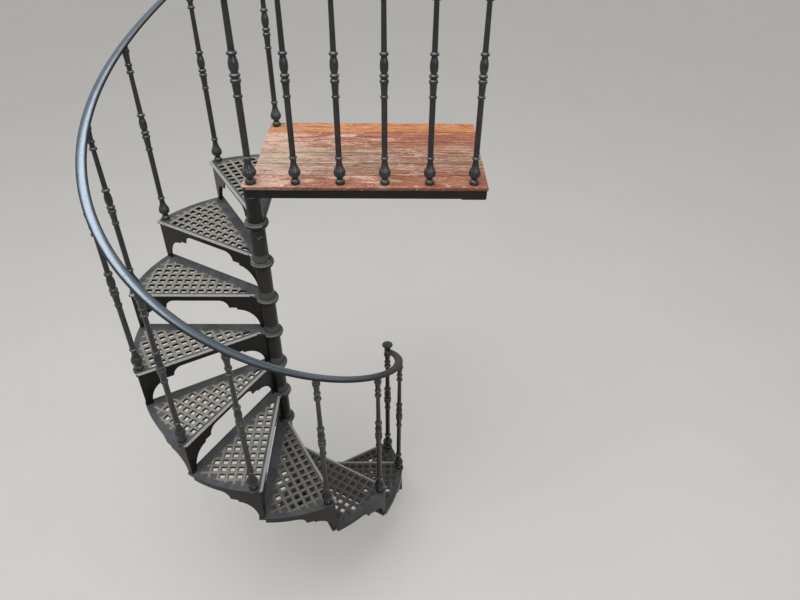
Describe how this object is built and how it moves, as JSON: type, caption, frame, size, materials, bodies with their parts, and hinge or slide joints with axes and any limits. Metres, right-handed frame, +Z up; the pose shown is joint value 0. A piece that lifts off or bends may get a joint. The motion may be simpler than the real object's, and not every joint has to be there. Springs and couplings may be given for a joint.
{
  "type": "spiral staircase",
  "caption": "Cast-iron spiral stair with pierced wedge steps on a hub column, turned balusters, a flat rounded handrail and a boarded landing with its own rail.",
  "frame": {"origin": "centre of the base flange's underside, on the column axis at floor level", "axes": "+Z up along the column; +X along the landing towards its bearing end on the wall; +Y from the landing's front balusters towards its back edge; the stair climbs clockwise seen from above"},
  "size_m": [1.8307, 1.4567, 3.481],
  "materials": {
    "casting_paint": "black gloss paint on cast iron, dulled by dust",
    "step_paint": "black paint on cast iron, worn to a brown-grey on the lattice",
    "baluster_paint": "black gloss paint on cast iron with grey highlights",
    "handrail_paint": "black gloss paint on a rolled steel bar, polished by hands",
    "frame_paint": "black paint on steel angle",
    "deck_stain": "red-brown stain on softwood boards, weathered to pink-grey",
    "pole_steel": "dark steel, hidden in the hubs"
  },
  "bodies": {
    "root": {"base_flange": "casting_paint", "centre_pole": "pole_steel", "step_1": "step_paint", "step_2": "step_paint", "step_3": "step_paint", "step_4": "step_paint", "step_5": "step_paint", "step_6": "step_paint", "step_7": "step_paint", "step_8": "step_paint", "step_9": "step_paint", "step_10": "step_paint", "column_head": "casting_paint", "bottom_newel": "baluster_paint", "step_baluster_2": "baluster_paint", "step_baluster_3": "baluster_paint", "step_baluster_4": "baluster_paint", "step_baluster_5": "baluster_paint", "step_baluster_6": "baluster_paint", "step_baluster_7": "baluster_paint", "step_baluster_8": "baluster_paint", "step_baluster_9": "baluster_paint", "step_baluster_10": "baluster_paint", "spiral_handrail": "handrail_paint", "landing_frame": "frame_paint", "deck_boards": "deck_stain", "top_newel": "baluster_paint", "landing_baluster_1": "baluster_paint", "landing_baluster_2": "baluster_paint", "landing_baluster_3": "baluster_paint", "landing_baluster_4": "baluster_paint", "landing_baluster_5": "baluster_paint", "back_baluster": "baluster_paint", "landing_handrail": "handrail_paint"}
  },
  "joints": []
}
